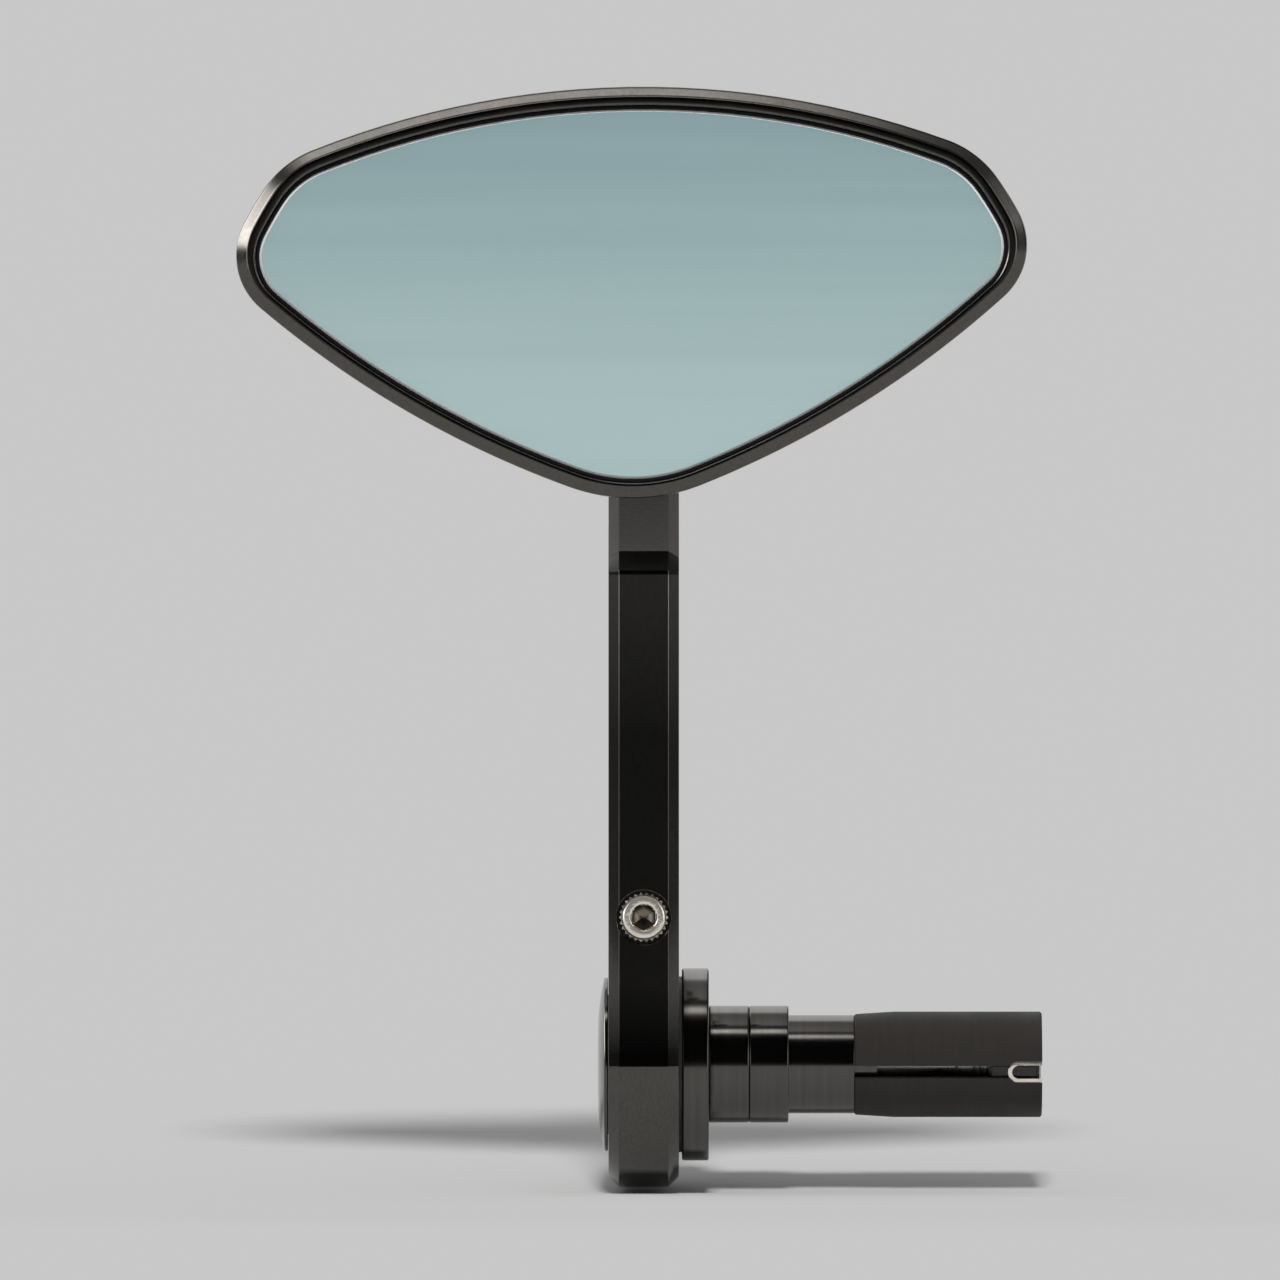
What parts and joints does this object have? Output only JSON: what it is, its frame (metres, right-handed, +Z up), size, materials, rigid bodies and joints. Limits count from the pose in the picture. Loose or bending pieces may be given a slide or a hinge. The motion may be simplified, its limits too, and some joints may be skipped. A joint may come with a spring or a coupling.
{
  "type": "motorcycle bar-end mirror",
  "caption": "Bar-end mirror: pointed oval glass in a dark metal head, carried by a ball joint on a bent arm that clamps round an expanding handlebar plug.",
  "frame": {"origin": "on the handlebar axis, at the shoulder face that meets the end of the bar", "axes": "+X inboard along the handlebar, +Y away from the rider, +Z up along the arm"},
  "size_m": [0.1377, 0.054, 0.1871],
  "materials": {
    "matte_black": "matt black anodised",
    "bright_steel": "bright steel",
    "plain_steel": "plated steel",
    "turned_black": "turned, gloss black anodised",
    "washer_plastic": "moulded",
    "arm_black": "milled, satin black anodised",
    "seat_plastic": "moulded",
    "shell_black": "black anodised, polished rim",
    "black_foam": "foam pad",
    "black_rubber": "rubber",
    "mirror_glass": "blue tinted mirror"
  },
  "bodies": {
    "bar_plug": {"split_sleeve": "matte_black", "slot_clip": "bright_steel", "cone_nut": "plain_steel", "shoulder_bush": "turned_black", "outer_spacer": "turned_black", "spigot_hub": "turned_black", "thrust_washer": "washer_plastic", "hub_cap": "turned_black", "plug_bolt": "plain_steel", "bolt_washer": "plain_steel"},
    "arm": {"arm": "arm_black", "pinch_screw": "bright_steel"},
    "stud": {"ball_stud": "plain_steel", "stud_washer": "plain_steel", "stud_nut": "plain_steel"},
    "cup": {"ball_seat": "seat_plastic"},
    "head": {"ball_ring": "turned_black", "ring_screws": "bright_steel", "head_shell": "shell_black", "backing_pad": "black_foam", "glass_seal": "black_rubber", "mirror_glass": "mirror_glass"}
  },
  "joints": [
    {"name": "arm_swivel", "type": "hinge", "parent": "bar_plug", "child": "arm", "pos_m": [-0.0247, 0, 0], "axis": [1, 0, 0], "continuous": true},
    {"name": "head_roll", "type": "hinge", "parent": "arm", "child": "stud", "pos_m": [-0.0247, -0.0187, 0.132], "axis": [0, 1, 0], "range_deg": [-25, 25]},
    {"name": "head_tilt", "type": "hinge", "parent": "stud", "child": "cup", "pos_m": [-0.0247, -0.0187, 0.132], "axis": [1, 0, 0], "range_deg": [-15, 15]},
    {"name": "head_pan", "type": "hinge", "parent": "cup", "child": "head", "pos_m": [-0.0247, -0.0187, 0.132], "axis": [0, 0, 1], "range_deg": [-20, 20]}
  ]
}
